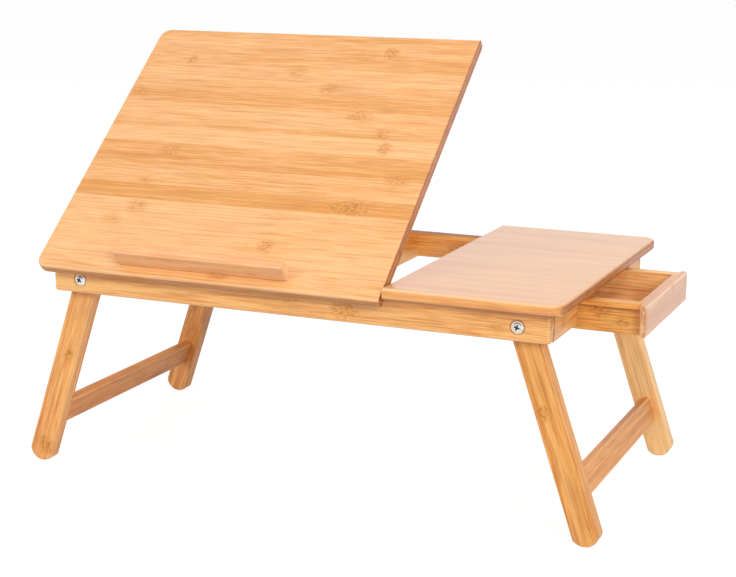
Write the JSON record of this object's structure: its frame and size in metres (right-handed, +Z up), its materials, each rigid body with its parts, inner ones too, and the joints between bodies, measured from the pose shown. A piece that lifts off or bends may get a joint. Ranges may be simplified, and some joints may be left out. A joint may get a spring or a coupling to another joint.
{
  "type": "folding lap desk",
  "caption": "Bamboo folding lap desk with a tilting top on a notched prop, a book ledge, a fixed side top over a sliding drawer, and splayed folding leg frames.",
  "frame": {"origin": "middle of the bounding box on the floor, as the desk stands open with its drawer part way out", "axes": "+X along the front rail towards the drawer, +Y from the book ledge to the back, +Z up"},
  "size_m": [0.5798, 0.3186, 0.3967],
  "materials": {
    "bamboo_tilting_top": "laminated bamboo, clear satin lacquer",
    "bamboo_fixed_top": "laminated bamboo, clear satin lacquer",
    "bamboo_frame": "bamboo strip, clear satin lacquer",
    "bamboo_drawer": "bamboo strip, clear satin lacquer",
    "dowel_wood": "plain",
    "bolt_steel": "bright nickel plated",
    "washer_steel": "zinc plated",
    "screw_steel": "zinc plated",
    "hinge_brass_plate": "brass plated steel"
  },
  "bodies": {
    "frame": {"leg_bolts": "bolt_steel", "leg_spacer_washers": "washer_steel", "leg_nut_washers": "washer_steel", "leg_nuts": "bolt_steel", "left_end_dowels": "dowel_wood", "right_end_dowels": "dowel_wood", "centre_bar_dowels": "dowel_wood", "fixed_top_dowels": "dowel_wood", "hinge_left_frame_leaf": "hinge_brass_plate", "hinge_right_frame_leaf": "hinge_brass_plate", "hinge_pins": "hinge_brass_plate", "hinge_frame_screws": "screw_steel", "front_rail": "bamboo_frame", "back_rail": "bamboo_frame", "rack_screws": "screw_steel", "left_end_rail": "bamboo_frame", "centre_bar": "bamboo_frame", "end_block_front": "bamboo_frame", "end_block_back": "bamboo_frame", "notch_rack_left": "bamboo_frame", "notch_rack_right": "bamboo_frame", "runner_screws": "screw_steel", "fixed_top": "bamboo_fixed_top", "drawer_runner_front": "bamboo_frame", "drawer_runner_back": "bamboo_frame", "drawer_back_rail": "bamboo_frame", "drawer_stop_strip": "bamboo_frame"},
    "tilting_top": {"book_ledge": "bamboo_tilting_top", "ledge_dowels": "dowel_wood", "prop_block_left": "bamboo_frame", "prop_block_right": "bamboo_frame", "prop_pins": "screw_steel", "prop_block_screws": "screw_steel", "hinge_top_screws": "screw_steel", "hinge_left_top_leaf": "hinge_brass_plate", "hinge_right_top_leaf": "hinge_brass_plate", "tilt_top": "bamboo_tilting_top"},
    "prop": {"prop_arm_left": "bamboo_frame", "prop_arm_right": "bamboo_frame", "prop_cross_slat": "bamboo_frame", "prop_slat_dowels": "dowel_wood", "prop_foot_rod": "bamboo_frame"},
    "left_legs": {"leg_front_left": "bamboo_frame", "leg_back_left": "bamboo_frame", "stretcher_left": "bamboo_frame", "stretcher_dowels_left": "dowel_wood"},
    "right_legs": {"leg_front_right": "bamboo_frame", "leg_back_right": "bamboo_frame", "stretcher_right": "bamboo_frame", "stretcher_dowels_right": "dowel_wood"},
    "drawer": {"drawer_front": "bamboo_drawer", "drawer_side_front": "bamboo_drawer", "drawer_side_back": "bamboo_drawer", "drawer_back": "bamboo_drawer", "drawer_bottom": "bamboo_drawer", "drawer_dowels": "dowel_wood", "drawer_stop_pegs": "dowel_wood"}
  },
  "joints": [
    {"name": "top_tilt", "type": "hinge", "parent": "frame", "child": "tilting_top", "pos_m": [-0.08743, -0.1409, 0.1978], "axis": [1, 0, 0], "range_deg": [-39.8, 0]},
    {"name": "prop_fold", "type": "hinge", "parent": "tilting_top", "child": "prop", "pos_m": [-0.12759, -0.05399, 0.26533], "axis": [1, 0, 0], "range_deg": [0, 69.7]},
    {"name": "left_legs_fold", "type": "hinge", "parent": "frame", "child": "left_legs", "pos_m": [-0.21868, 0.00335, 0.18485], "axis": [0, -1, 0], "range_deg": [0, 108.73]},
    {"name": "right_legs_fold", "type": "hinge", "parent": "frame", "child": "right_legs", "pos_m": [0.20092, 0.00335, 0.18485], "axis": [0, 1, 0], "range_deg": [0, 108.73]},
    {"name": "drawer_slide", "type": "slide", "parent": "frame", "child": "drawer", "axis": [1, 0, 0], "range_m": [-0.055, 0.03621]}
  ],
  "couplings": [
    {"joint": "prop_fold", "follows": "top_tilt", "ratio": -1.7512}
  ]
}
